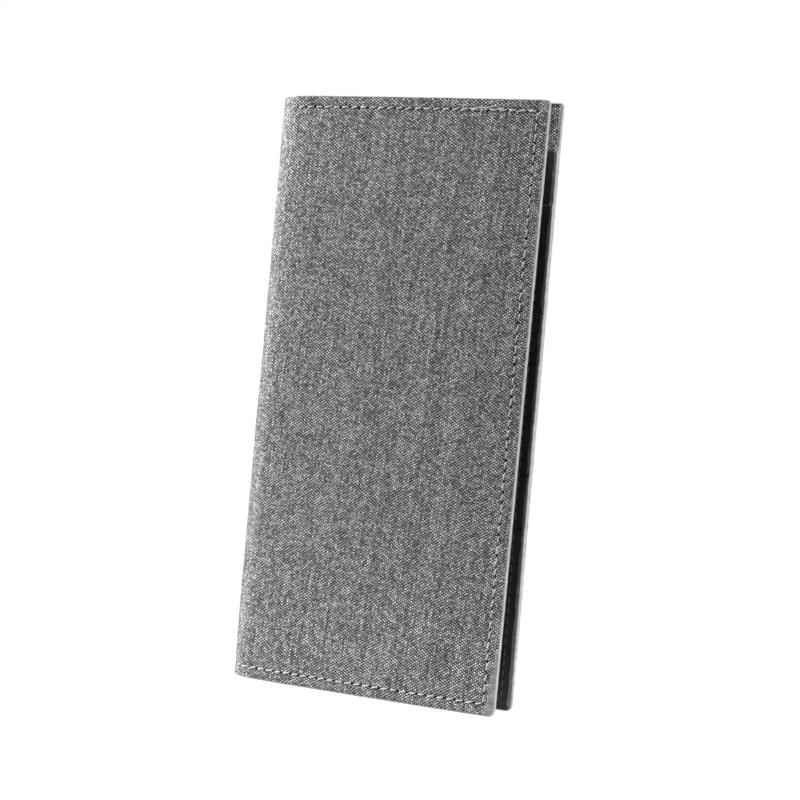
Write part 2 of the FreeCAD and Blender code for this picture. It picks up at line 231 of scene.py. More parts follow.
def signed_volume(points, faces):
    """Six times the volume that the faces enclose, negative where they face inwards."""
    a, b, c, d = (points[faces[:, i]] for i in range(4))
    return np.sum(np.cross(a, b) * c) + np.sum(np.cross(a, c) * d)


def loop_faces(rings, count):
    """Quads over rings of count points each, with both ends closed by pairing the ring's halves."""
    i = np.arange(rings - 1)[:, None]
    j = np.arange(count)[None, :]
    following = (j + 1) % count
    walls = np.stack([i * count + j, i * count + following,
                      (i + 1) * count + following, (i + 1) * count + j], -1).reshape(-1, 4)
    k = np.arange(count // 2 - 1)
    first = np.stack([k, count - 1 - k, count - 2 - k, k + 1], -1)
    last = (rings - 1) * count + np.stack([k, k + 1, count - 2 - k, count - 1 - k], -1)
    return np.concatenate([walls, first, last])


def swept(name, parts, material, hard_lines=()):
    """One mesh from closed sweeps. Each part is (points, uv), shaped (rings, count, 3 or 2)."""
    all_points, all_uv, all_faces, all_sharp = [], [], [], []
    base = 0
    for points, uv in parts:
        rings, count = points.shape[:2]
        flat_points = points.reshape(-1, 3)
        faces = loop_faces(rings, count)
        if signed_volume(flat_points - flat_points.mean(0), faces) < 0:
            faces = faces[:, ::-1]
        all_points.append(flat_points)
        all_uv.append(uv.reshape(-1, 2))
        all_faces.append(faces + base)
        if hard_lines:
            ring = np.arange(rings - 1)[:, None] * count
            line = ring + np.array(hard_lines)[None, :]
            all_sharp.append(np.stack([line, line + count], -1).reshape(-1, 2) + base)
            rim = np.arange(count)
            for start in (0, (rings - 1) * count):
                all_sharp.append(np.stack([rim, (rim + 1) % count], -1) + start + base)
        base += len(flat_points)
    sharp = np.concatenate(all_sharp) if all_sharp else None
    return new_object(name, np.concatenate(all_points), np.concatenate(all_faces),
                      np.concatenate(all_uv), material, sharp)


def steps(start, end, length):
    """Even steps of about the given length, both ends included."""
    return np.linspace(start, end, max(2, int(round(abs(end - start) / length)) + 1))


def chain(*runs):
    """Runs of steps end to end, with the shared ends kept once."""
    return np.unique(np.round(np.concatenate(runs), 5))


def corner_columns(inset):
    """s across the rounded corners, ever closer together towards the edge."""
    radius = LOW_CORNER - inset
    return EDGE_S - LOW_CORNER + radius * np.sin(np.linspace(0, math.pi / 2, 15))


def corner_cut(s, inset, corner):
    """How far a rounded corner eats into the height at each s."""
    radius = corner - inset
    into = np.clip((s - (EDGE_S - corner)) / radius, 0, 1)
    return radius * (1 - np.sqrt(np.maximum(0, 1 - into * into)))


def rows_at(s, inset, share):
    """z of each row at each s: rows spread over the height, which shrinks in the corners."""
    low = inset + corner_cut(s, inset, LOW_CORNER)
    high = HEIGHT - inset - corner_cut(s, inset, HIGH_CORNER)
    return low[:, None] + share[None, :] * (high - low)[:, None]


def slab(name, side, columns, rows, outer, inner, material):
    """A layer of cloth or board. rows(s) gives z; outer and inner give the depth of its faces."""
    z = rows(columns)
    s = np.repeat(columns[:, None], z.shape[1], 1)
    front_face = place(side, s, z, outer(s, z))
    back_face = place(side, s, z, inner(s, z))
    points = np.concatenate([front_face, back_face[:, ::-1]], 1)
    uv_half = np.stack([side * s, z], -1)
    uv = np.concatenate([uv_half, uv_half[:, ::-1]], 1)
    half = z.shape[1]
    return swept(name, [(points, uv)], material, (0, half - 1, half, 2 * half - 1))


def edge_distance(s, z):
    """How far a point is inside the leaf's rounded outline."""
    corner = np.where(z > HEIGHT / 2, HIGH_CORNER, LOW_CORNER)
    over_s = s - (EDGE_S - corner)
    over_z = np.abs(z - HEIGHT / 2) - (HEIGHT / 2 - corner)
    outside = np.hypot(np.maximum(over_s, 0), np.maximum(over_z, 0))
    return corner - outside - np.minimum(np.maximum(over_s, over_z), 0)


def seam_place(s, z):
    """Distance from the seam line, and the place along it, of points on a leaf."""
    to_ends = np.minimum(np.abs(z - SEAM_INSET), np.abs(z - HEIGHT + SEAM_INSET))
    past = np.maximum(s - SEAM_S, 0)
    ends = np.hypot(to_ends, past)
    above = np.maximum(np.abs(z - HEIGHT / 2) - (HEIGHT / 2 - SEAM_INSET), 0)
    fore = np.hypot(s - SEAM_S, above)
    along = np.where(ends < fore, SEAM_S - s, z - SEAM_INSET)
    return np.minimum(ends, fore), along


def cover_relief(side, s, z):
    """How far the cover's outside stands proud of its flat face, in millimetres."""
    seam, along = seam_place(s, z)
    edge = edge_distance(s, z)
    wander = 0.6 + 0.4 * ripple(s, z, 9.0, 60 + side)
    needle = 0.5 + 0.5 * np.cos(2 * math.pi * along / STITCH_PITCH)
    groove = -(0.11 + 0.10 * needle) * np.exp(-(seam / 0.7) ** 2)
    pucker = 0.05 * wander * (1 - 2 * needle) * np.exp(-((seam - 1.1) / 1.2) ** 2)
    field = 0.10 * (1 - np.exp(-(seam / 5.0) ** 2))
    roll_off = -0.20 * np.exp(-(edge / 0.55) ** 2)
    crease = 0.05 * smooth((14 - s) / 10) * ripple(s * 2.2, z * 0.35, 14.0, 64 + side)
    return groove + pucker + field + roll_off + crease + 0.03 * ripple(s, z, 12.0, 68 + side)


# ---- node graphs
class Graph:
    """Short calls for building a material's nodes."""

    def __init__(self, name):
        self.material = bpy.data.materials.new(name)
        self.material.use_nodes = True
        self.tree = self.material.node_tree
        self.tree.nodes.clear()
        self.output = self.tree.nodes.new("ShaderNodeOutputMaterial")

    def link(self, socket, value):
        """Sets a socket to a value, or joins it to another node's output."""
        if isinstance(value, bpy.types.NodeSocket):
            self.tree.links.new(value, socket)
        elif value is not None:
            socket.default_value = value

    def node(self, kind, inputs=None, **settings):
        """A node with its settings and inputs."""
        made = self.tree.nodes.new(kind)
        for key, value in settings.items():
            setattr(made, key, value)
        for key, value in (inputs or {}).items():
            self.link(made.inputs[key], value)
        return made

    def math(self, operation, a, b=None, c=None):
        """A Math node's result."""
        made = self.node("ShaderNodeMath", operation=operation)
        for socket, value in zip(made.inputs, (a, b, c)):
            self.link(socket, value)
        return made.outputs[0]

    def split(self, vector):
        """The x, y and z of a vector."""
        return self.node("ShaderNodeSeparateXYZ", {0: vector}).outputs

    def join(self, x, y, z=0.0):
        """A vector from its parts."""
        return self.node("ShaderNodeCombineXYZ", {0: x, 1: y, 2: z}).outputs[0]

    def noise(self, vector, scale, detail=2.0, roughness=0.5):
        """Noise between 0 and 1."""
        inputs = {"Vector": vector, "Scale": scale, "Detail": detail, "Roughness": roughness}
        return self.node("ShaderNodeTexNoise", inputs).outputs["Fac"]

    def chance(self, vector):
        """A random value between 0 and 1 for each whole-numbered vector."""
        made = self.node("ShaderNodeTexWhiteNoise", {"Vector": vector}, noise_dimensions="3D")
        return made.outputs["Value"]

    def spread(self, value, low, high, new_low=0.0, new_high=1.0):
        """Maps a range onto another, clamped."""
        made = self.node("ShaderNodeMapRange")
        for socket, entry in zip(made.inputs, (value, low, high, new_low, new_high)):
            self.link(socket, entry)
        return made.outputs[0]

    def colours(self, value, *stops):
        """A colour ramp through (place, (r, g, b)) stops."""
        made = self.node("ShaderNodeValToRGB", {0: value})
        ramp = made.color_ramp
        while len(ramp.elements) < len(stops):
            ramp.elements.new(0.5)
        for element, (at, colour) in zip(ramp.elements, stops):
            element.position = at
            element.color = (*colour, 1.0)
        return made.outputs[0]

    def mix(self, share, a, b, blend="MIX"):
        """Two colours mixed."""
        made = self.node("ShaderNodeMix", data_type="RGBA", blend_type=blend)
        self.link(made.inputs[0], share)
        self.link(made.inputs[6], a)
        self.link(made.inputs[7], b)
        return made.outputs[2]

    def bump(self, height, distance, strength=1.0, normal=None):
        """A bump of the given depth in metres."""
        inputs = {"Height": height, "Distance": distance, "Strength": strength, "Normal": normal}
        return self.node("ShaderNodeBump", inputs).outputs[0]

    def surface(self, colour, roughness, normal, **fixed):
        """The finished surface. Fixed values are set on the shader's own sockets."""
        inputs = {"Base Color": colour, "Roughness": roughness, "Normal": normal}
        made = self.node("ShaderNodeBsdfPrincipled", inputs)
        for key, value in fixed.items():
            made.inputs[key.replace("_", " ")].default_value = value
        self.tree.links.new(made.outputs[0], self.output.inputs[0])
        return self.material


def grey(value, warm=0.0):
    """A grey in linear light, warmer or cooler by a small share."""
    return (value * (1 + warm), value, value * (1 - warm))


def cloth_place(graph):
    """The cloth's own coordinates in millimetres."""
    uv = graph.node("ShaderNodeUVMap", uv_map="cloth").outputs[0]
    scaled = graph.node("ShaderNodeVectorMath", {0: uv, "Scale": SHEET_UV}, operation="SCALE")
    return scaled.outputs[0]


def plain_weave(graph, place_mm, pitch, skew=(0.0, 0.0), evenness=0.3):
    """A plain weave: its height, which yarn is on top, the yarns' and crossings' own shades, and
    the column's number. evenness is how far the two yarns can blend at a crossing.
    """
    flat_x, flat_y, _ = graph.split(place_mm)
    x = graph.math("MULTIPLY_ADD", flat_y, skew[0], flat_x)
    y = graph.math("MULTIPLY_ADD", flat_x, skew[1], flat_y)
    wobble_x = graph.noise(place_mm, 0.12, 3.0)
    wobble_y = graph.noise(graph.join(y, x, 7.0), 0.12, 3.0)
    column = graph.math("ADD", graph.math("DIVIDE", x, pitch[0]), graph.math("SUBTRACT", wobble_x, 0.5))
    row = graph.math("ADD", graph.math("DIVIDE", y, pitch[1]), graph.math("SUBTRACT", wobble_y, 0.5))
    column_index = graph.math("FLOOR", column)
    row_index = graph.math("FLOOR", row)
    across = graph.math("SINE", graph.math("MULTIPLY", graph.math("FRACT", column), math.pi))
    up = graph.math("SINE", graph.math("MULTIPLY", graph.math("FRACT", row), math.pi))
    over = graph.math("FLOORED_MODULO", graph.math("ADD", column_index, row_index), 2.0)
    warp_height = graph.math("MULTIPLY", across, graph.math("MULTIPLY_ADD", up, 0.5, 0.5))
    weft_height = graph.math("MULTIPLY", up, graph.math("MULTIPLY_ADD", across, 0.5, 0.35))
    difference = graph.math("SUBTRACT", warp_height, weft_height)
    height = graph.math("MULTIPLY_ADD", difference, over, weft_height)
    warp_shade = graph.noise(graph.join(graph.math("MULTIPLY", column_index, 3.17),
                                        graph.math("MULTIPLY", y, 0.16), 1.5), 1.0, 2.5, 0.6)
    weft_shade = graph.noise(graph.join(graph.math("MULTIPLY", x, 0.16),
                                        graph.math("MULTIPLY", row_index, 3.71), 9.5), 1.0, 2.5, 0.6)
    cell = graph.chance(graph.join(column_index, row_index, 3.0))
    blend = graph.chance(graph.join(column_index, row_index, 8.0))
    flattened = graph.spread(blend, 0.35, 1.0, 0.0, evenness)
    over = graph.math("MULTIPLY_ADD", graph.math("SUBTRACT", 0.5, over), flattened, over)
    return {"height": height, "over": over, "warp": warp_shade, "weft": weft_shade, "cell": cell,
            "column": column_index}


def heather_canvas():
    """Heather-grey plain weave: pale slubby warp over a dark weft, matt, with a fibrous bloom and painted
    shade in the gaps between the yarns.
    """
    graph = Graph("heather_canvas")
    at = cloth_place(graph)
    weave = plain_weave(graph, at, CANVAS_PITCH, skew=(0.054, -0.018), evenness=0.6)
    fibres = graph.noise(at, 9.0, 3.0, 0.7)
    warp_tone = graph.math("MULTIPLY_ADD", weave["cell"], 0.70, weave["warp"])
    weft_tone = graph.math("MULTIPLY_ADD", weave["cell"], 0.70, weave["weft"])
    pale = graph.colours(graph.spread(warp_tone, 0.42, 1.25), (0.0, grey(0.20, TINT)),
                         (0.5, grey(0.50, TINT)), (0.85, grey(0.78, TINT)), (1.0, grey(0.90, TINT)))
    dark = graph.colours(graph.spread(weft_tone, 0.42, 1.25), (0.0, grey(0.006, TINT)),
                         (0.6, grey(0.030, TINT)), (0.85, grey(0.11, TINT)), (1.0, grey(0.30, TINT)))
    yarn = graph.mix(weave["over"], dark, pale)
    # painted shade: darker where the weave is low, in the gaps between the yarns; column_shade and
    # fibre_shade are the yarns' own tone
    gap_painted_shade = graph.spread(weave["height"], 0.05, 0.75, 0.12, 1.0)
    column_chance = graph.chance(graph.join(weave["column"], 0.0, 5.0))
    column_shade = graph.spread(column_chance, 0.0, 1.0, 0.84, 1.16)
    fibre_shade = graph.spread(fibres, 0.2, 0.8, 0.85, 1.15)
    shade = graph.math("MULTIPLY", gap_painted_shade, graph.math("MULTIPLY", column_shade, fibre_shade))
    colour = graph.mix(1.0, yarn, graph.join(shade, shade, shade), "MULTIPLY")
    relief = graph.bump(weave["height"], 0.00011, 0.8)
    fuzz = graph.bump(fibres, 0.00002, 0.5, relief)
    return graph.surface(colour, 0.9, fuzz, Specular_IOR_Level=0.12, Sheen_Weight=0.03,
                         Sheen_Roughness=0.5)


def pocket_fabric():
    """Fine black pocket cloth with a faint lengthwise rib."""
    graph = Graph("pocket_fabric")
    at = cloth_place(graph)
    weave = plain_weave(graph, at, POCKET_PITCH)
    tone = graph.math("MULTIPLY_ADD", weave["cell"], 0.3, weave["warp"])
    yarns = graph.colours(graph.spread(tone, 0.3, 1.0), (0.0, grey(0.012)),
                          (0.6, grey(0.027, -0.02)), (1.0, grey(0.050, -0.01)))
    across, up, _ = graph.split(at)
    rib = graph.spread(graph.noise(graph.join(across, graph.math("MULTIPLY", up, 0.3)), 1.3, 3.0),
                       0.3, 0.7, 0.6, 1.6)
    colour = graph.mix(1.0, yarns, graph.join(rib, rib, rib), "MULTIPLY")
    relief = graph.bump(weave["height"], 0.00004, 0.7)
    rumple = graph.bump(graph.noise(at, 0.12, 3.0), 0.0004, 0.25, relief)
    rough = graph.spread(weave["height"], 0.0, 0.9, 0.72, 0.52)
    return graph.surface(colour, rough, rumple, Specular_IOR_Level=0.4, Sheen_Weight=0.08)


def lining_fabric():
    """Dark grey lining, a close taffeta with a little sheen."""
    graph = Graph("lining_fabric")
    at = cloth_place(graph)
    weave = plain_weave(graph, at, LINING_PITCH)
    tone = graph.math("MULTIPLY_ADD", weave["cell"], 0.25, weave["weft"])
    colour = graph.colours(graph.spread(tone, 0.3, 1.0), (0.0, grey(0.018, -0.03)),
                           (0.6, grey(0.034, -0.04)), (1.0, grey(0.055, -0.03)))
    relief = graph.bump(weave["height"], 0.00003, 0.7)
    return graph.surface(colour, 0.5, relief, Specular_IOR_Level=0.5, Sheen_Weight=0.2)


def edge_paint():
    """Pale warm-grey edge paint: satin, slightly pooled, and darker where it laps the cloth, partly from
    thin paint over the cloth and partly as painted shade.
    """
    graph = Graph("edge_paint_coat")
    at = cloth_place(graph)
    _, around, _ = graph.split(at)
    from_middle = graph.math("ABSOLUTE", graph.math("SUBTRACT", around, 2.0))
    pools = graph.noise(at, 0.45, 3.0, 0.6)
    specks = graph.noise(at, 3.5, 2.0, 0.6)
    tone = graph.math("MULTIPLY_ADD", graph.spread(specks, 0.55, 0.75), -0.25, pools)
    full = graph.colours(graph.spread(tone, 0.25, 0.7), (0.0, grey(0.25, 0.02)),
                         (0.5, grey(0.36, 0.03)), (1.0, grey(0.44, 0.03)))
    # darker laps on the face and the inner side: partly thin paint over the cloth, partly painted shade
    film = graph.spread(graph.noise(at, 1.6, 3.0, 0.7), 0.35, 0.65, 0.36, 0.86)
    share = graph.spread(from_middle, 0.5, 1.1)
    thin_paint_and_shade = graph.math("MULTIPLY_ADD", graph.math("SUBTRACT", film, 1.0), share, 1.0)
    colour = graph.mix(1.0, full, graph.join(thin_paint_and_shade, thin_paint_and_shade, thin_paint_and_shade), "MULTIPLY")
    relief = graph.bump(pools, 0.00012, 0.5)
    fine = graph.bump(specks, 0.00003, 0.6, relief)
    return graph.surface(colour, graph.spread(pools, 0.3, 0.7, 0.42, 0.62), fine,
                         Specular_IOR_Level=0.4)


def thread(name, colour, low):
    """Two-ply sewing thread with its fibres running round the ply."""
    graph = Graph(name)
    at = cloth_place(graph)
    x, y, _ = graph.split(at)
    twist = graph.math("SINE", graph.math("MULTIPLY", graph.math("MULTIPLY_ADD", y, 2.5, x), 24.0))
    hair = graph.noise(at, 7.0, 3.0, 0.7)
    share = graph.math("MULTIPLY_ADD", twist, 0.25, hair)
    shade = graph.colours(graph.spread(share, 0.1, 0.9), (0.0, low), (0.6, colour),
                          (1.0, tuple(min(1.0, c * 1.15) for c in colour)))
    relief = graph.bump(share, 0.00003, 0.8)
    return graph.surface(shade, 0.62, relief, Specular_IOR_Level=0.4, Sheen_Weight=0.15)


def fibre_board():
    """Grey-brown pressed board with flecks."""
    graph = Graph("fibre_board")
    at = cloth_place(graph)
    fleck = graph.noise(at, 2.2, 4.0, 0.75)
    colour = graph.colours(graph.spread(fleck, 0.3, 0.75), (0.0, (0.20, 0.17, 0.13)),
                           (0.6, (0.30, 0.26, 0.20)), (1.0, (0.42, 0.38, 0.31)))
    return graph.surface(colour, 0.9, graph.bump(fleck, 0.00004, 0.6), Specular_IOR_Level=0.2)


def paint_needle_shade():
    """Painted shade down a needle hole: near black with the odd paler fibre, for the dark ovals laid just
    above the cloth.
    """
    graph = Graph("needle_hole_painted_shade")
    at = cloth_place(graph)
    fibre = graph.noise(at, 6.0, 2.0, 0.6)
    colour = graph.colours(fibre, (0.3, grey(0.004)), (0.7, grey(0.020)))
    return graph.surface(colour, 0.95, graph.bump(fibre, 0.00003, 0.6), Specular_IOR_Level=0.1)


canvas = heather_canvas()
pocket_cloth = pocket_fabric()
lining_cloth = lining_fabric()
paint = edge_paint()
pale_thread = thread("pale_thread", (0.78, 0.77, 0.74), (0.40, 0.39, 0.37))
under_thread = thread("under_thread", (0.25, 0.25, 0.25), (0.10, 0.10, 0.10))
board = fibre_board()
# painted shade for the needle holes
needle_shade_material = paint_needle_shade()


# ---- pieces
def on_leaf(piece, side, slot, *nodes):
    """The piece moves with its leaf, and stands for those CAD nodes if any are named."""
    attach(piece, SIDE_NAME[side] + "_leaf")
    if nodes:
        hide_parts(*nodes)


def over_fold(piece, side, slot, *nodes):
    """The piece, shaped round the fold between the spine and its leaf, stays where it is built, and stands
    for those CAD nodes.
    """
    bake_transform(piece)
    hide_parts(*nodes)


def fold_columns():
    """s through the fold, close together where it bends most."""
    return chain(steps(0, 6, 0.2), steps(6, 12, 0.4))


def whole_columns(inset):
    """s from the fold tip to the edge, closer together at the seam."""
    return chain(fold_columns(), steps(12, SEAM_S - 3, 0.75),
                 steps(SEAM_S - 3, EDGE_S - LOW_CORNER, 0.3), corner_columns(inset))


def fine_rows():
    """Shares of the height, closer together at the two end seams."""
    z = chain(steps(0, 7, 0.3), steps(7, HEIGHT - 7, 0.56), steps(HEIGHT - 7, HEIGHT, 0.3))
    return z / HEIGHT


def plain_rows(step):
    """Even shares of the height."""
    return steps(0, HEIGHT, step) / HEIGHT


def make_cover(side):
    """Half of the canvas cover, from the fold tip to the fore-edge."""
    share = fine_rows()
    piece = slab(SIDE_NAME[side] + "_cover_cloth", side, whole_columns(CUT_INSET),
                 lambda s: rows_at(s, CUT_INSET, share),
                 lambda s, z: -cover_relief(side, s, z),
                 lambda s, z: CANVAS + 0 * s, canvas)
    over_fold(piece, side, "canvas", SIDE_NAME[side] + "_cover_canvas", "spine_canvas")


def make_stiffener(side):
    """The fibre board under the canvas."""
    share = plain_rows(3.0)
    columns = chain(steps(LEAF_S + 1.0, EDGE_S - LOW_CORNER, 3.0),
                    steps(EDGE_S - LOW_CORNER, EDGE_S - BOARD_INSET, 0.4))
    piece = slab(SIDE_NAME[side] + "_stiffener", side, columns,
                 lambda s: BOARD_INSET + share[None, :] * (HEIGHT - 2 * BOARD_INSET) + 0 * s[:, None],
                 lambda s, z: BOARD[0] + 0 * s, lambda s, z: BOARD[1] + 0 * s, board)
    on_leaf(piece, side, "board", SIDE_NAME[side] + "_backing_board")


def make_lining(side):
    """Half of the lining, slightly creased where it goes round the fold."""
    share = plain_rows(1.5)
    columns = chain(fold_columns(), steps(12, EDGE_S - LOW_CORNER, 2.0), corner_columns(CUT_INSET))

    def crease(s, z):
        near_fold = smooth((10 - s) / 5) * smooth(s / 1.2)
        return 0.05 * near_fold * ripple(s * 3.0, z * 0.3, 7.0, 80 + side)

    piece = slab(SIDE_NAME[side] + "_lining_cloth", side, columns,
                 lambda s: rows_at(s, CUT_INSET, share),
                 lambda s, z: LINING[0] + crease(s, z), lambda s, z: LINING[1] + crease(s, z),
                 lining_cloth)
    over_fold(piece, side, "lining", SIDE_NAME[side] + "_cover_lining", "spine_lining")


def make_panel(side):
    """The grey canvas panel that the card pockets are sewn to, hemmed at the fold side."""
    share = plain_rows(1.0)
    columns = chain(steps(LEAF_S, LEAF_S + 8, 0.3), steps(LEAF_S + 8, EDGE_S - LOW_CORNER, 1.0),
                    corner_columns(CUT_INSET))

    def soft_edge(s):
        return 0.10 * np.exp(-((s - LEAF_S) / 0.35) ** 2)

    piece = slab(SIDE_NAME[side] + "_pocket_panel", side, columns,
                 lambda s: rows_at(s, CUT_INSET, share),
                 lambda s, z: PANEL[0] + soft_edge(s), lambda s, z: PANEL[1] - soft_edge(s), canvas)
    on_leaf(piece, side, "canvas", SIDE_NAME[side] + "_inner_panel")


def pocket_base(side):
    """Depth at which the pocket strips of a leaf start."""
    return LAYER_GAP + (SLIP[1] if side == FRONT else PANEL[1])


def pocket_lean(side):
    """Rise of a pocket strip towards the gap, per millimetre of height."""
    return (LEAF_DEPTH - LAYER_GAP - POCKET_CLOTH - pocket_base(side)) / POCKET_CUT


def hemmed_strip(side, columns, foot, mouth, depth_at, bow):
    """Points of a strip of cloth with its mouth folded over and bowed towards the gap."""
    share = chain(steps(0, mouth - POCKET_HEM - 1 - foot, 1.5),
                  steps(mouth - POCKET_HEM - 1 - foot, mouth - foot, 0.4)) / (mouth - foot)
    s, share = np.meshgrid(columns, share, indexing="ij")
    low = foot
    if foot < FIRST_FOOT:
        low = np.maximum(foot, CUT_INSET + corner_cut(s, CUT_INSET, LOW_CORNER))
    z = low + share * (mouth - low)
    middle = np.sin(math.pi * np.clip((s - columns[0]) / (columns[-1] - columns[0]), 0, 1))
    rise = smooth((z - foot) / (mouth - foot))
    lift = bow * middle * rise ** 2 * (1 + 0.3 * ripple(s, z, 30.0, int(mouth)))
    hem = HEM_THICKNESS * smooth((z - mouth + POCKET_HEM) / 0.5) * middle ** 0.3
    sag = MOUTH_SAG * middle * smooth((z - mouth + 12) / 12)
    near = depth_at(z) + lift
    far = near + POCKET_CLOTH + hem
    lip = np.sqrt(np.clip((mouth - z) / 0.12, 0, 1))
    centre = (near + far) / 2
    near = centre + (near - centre) * np.maximum(lip, 0.25)
    far = centre + (far - centre) * np.maximum(lip, 0.25)
    z = z - sag
    points = np.concatenate([place(side, s, z, near), place(side, s, z, far)[:, ::-1]], 1)
    uv = np.stack([side * s, z], -1)
    return points, np.concatenate([uv, uv[:, ::-1]], 1)


def make_pockets(side, count):
    """The leaf's row of overlapping card pockets, the lowest first."""
    columns = chain(steps(LEAF_S, LEAF_S + 3, 0.5), steps(LEAF_S + 3, EDGE_S - 8, 2.0),
                    steps(EDGE_S - 8, EDGE_S - LOW_CORNER, 0.5), corner_columns(CUT_INSET))
    lean = pocket_lean(side)
    for index in range(count):
        foot = FIRST_FOOT + MOUTH_SPACING * index
        mouth = foot + POCKET_CUT
        cut_foot = foot if index else LOWEST_FOOT
        part = hemmed_strip(side, columns, cut_foot, mouth,
                            lambda z: pocket_base(side) + (z - foot) * lean, CARD_POCKET_BOW)
        name = "%s_card_pocket_%d" % (SIDE_NAME[side], count - index)
        half = part[0].shape[1] // 2
        piece = swept(name + "_cloth", [part], pocket_cloth, (0, 2 * half - 1))
        on_leaf(piece, side, "pocket_cloth", name)


def make_slip_pocket():
    """The full-width pocket behind the front leaf's card pockets."""
    columns = chain(steps(LEAF_S, EDGE_S - 6, 2.0), steps(EDGE_S - 6, EDGE_S - LOW_CORNER, 0.5),
                    corner_columns(CUT_INSET))
    part = hemmed_strip(FRONT, columns, LOWEST_FOOT, LAST_MOUTH, lambda z: SLIP[0] + 0 * z,
                        SLIP_POCKET_BOW)
    half = part[0].shape[1] // 2
    piece = swept("front_slip_pocket_cloth", [part], pocket_cloth, (0, 2 * half - 1))
    on_leaf(piece, FRONT, "pocket_cloth", "front_slip_pocket")


def outline():
    """A leaf's outline from the fold tip over the top, down the fore-edge and back, with its
    outward direction and the distance along it."""
    near_fold = chain(steps(0, 6, 0.3), steps(6, 12, 0.5))
    top_s = chain(near_fold, steps(12, EDGE_S - HIGH_CORNER, 0.9))
    low_s = chain(near_fold, steps(12, EDGE_S - 5, 0.9), steps(EDGE_S - 5, EDGE_S - LOW_CORNER, 0.2))[::-1]
    turn = np.linspace(0, math.pi / 2, 17)[1:-1]
    fore_z = chain(steps(LOW_CORNER, 26, 0.225), steps(26, HEIGHT - HIGH_CORNER, 0.7))[::-1]
    s = np.concatenate([top_s, EDGE_S - HIGH_CORNER + HIGH_CORNER * np.sin(turn), 0 * fore_z + EDGE_S,
                        EDGE_S - LOW_CORNER + LOW_CORNER * np.cos(turn), low_s])
    z = np.concatenate([0 * top_s + HEIGHT, HEIGHT - HIGH_CORNER + HIGH_CORNER * np.cos(turn), fore_z,
                        LOW_CORNER - LOW_CORNER * np.sin(turn), 0 * low_s])
    out_s = np.concatenate([0 * top_s, np.sin(turn), 0 * fore_z + 1, np.cos(turn), 0 * low_s])
    out_z = np.concatenate([0 * top_s + 1, np.cos(turn), 0 * fore_z, -np.sin(turn), 0 * low_s - 1])
    travel = np.concatenate([[0], np.cumsum(np.hypot(np.diff(s), np.diff(z)))])
    return s, z, out_s, out_z, travel


def on_fore_edge(s):
    """1 on the fore-edge and 0 along the two ends of a leaf."""
    return smooth((s - EDGE_S + 0.6) / 0.5)


def coat_depth(side, s, z):
    """How deep the edge paint reaches at a place on the outline."""
    deep = FOLD_COAT_DEPTH + (COAT_DEPTH - FOLD_COAT_DEPTH) * smooth((s - LEAF_S + 1.5) / 2)
    if side == REAR:
        over_pockets = np.maximum(inner_depth(side, z), deep)
        deep = deep + (over_pockets - deep) * on_fore_edge(s)
    return deep


def inner_lap(side, s, z, travel):
    """How far the paint laps onto the inner face."""
    lap = 0.20 + 0 * s
    if side == REAR:
        beside_pockets = 0.95 + 0.35 * np.clip((50 - z) / 50, 0, 1) - 0.45 * smooth((z - 178) / 8)
        ragged = 0.10 * ripple(travel, 0 * travel, 6.0, 91)
        lap = lap + (beside_pockets + ragged - lap) * on_fore_edge(s)
    return lap


def paint_lap(side, s, z, travel):
    """How far the paint laps onto the cover's face, ragged along the weave."""
    line = 0 * travel
    lap = FACE_LAP + 0.05 * ripple(travel, line, 5.0, 90 + side) + 0.03 * ripple(travel, line, 1.3, 94)
    high = np.clip((z - HEIGHT + 4.5) / 3.0, 0, 1) * smooth((s - EDGE_S + 3.0) / 1.0)
    lap = np.minimum(lap + CORNER_LAP * high, HIGH_CORNER - CUT_INSET - 0.1)
    if side == FRONT:
        teeth = np.random.RandomState(12).uniform(-0.15, 1.15, 600)
        yarn_s, yarn_z = CANVAS_PITCH
        row = (z / yarn_z).astype(int)
        rise = np.clip((PATCH_HEIGHT - z) / (PATCH_HEIGHT - 2), 0, 1) ** 1.25
        climb = PATCH_WIDTH * rise * smooth((s - EDGE_S + 3.6) / 0.5)
        patch = yarn_s * np.floor(climb / yarn_s + teeth[row]) + 0.12 * ripple(travel, line, 0.9, 96)
        in_corner = z < LOW_CORNER
        lap = lap + np.where(in_corner, np.minimum(patch, LOW_CORNER - CUT_INSET - 0.25), patch)
    return np.maximum(lap, 0.05)


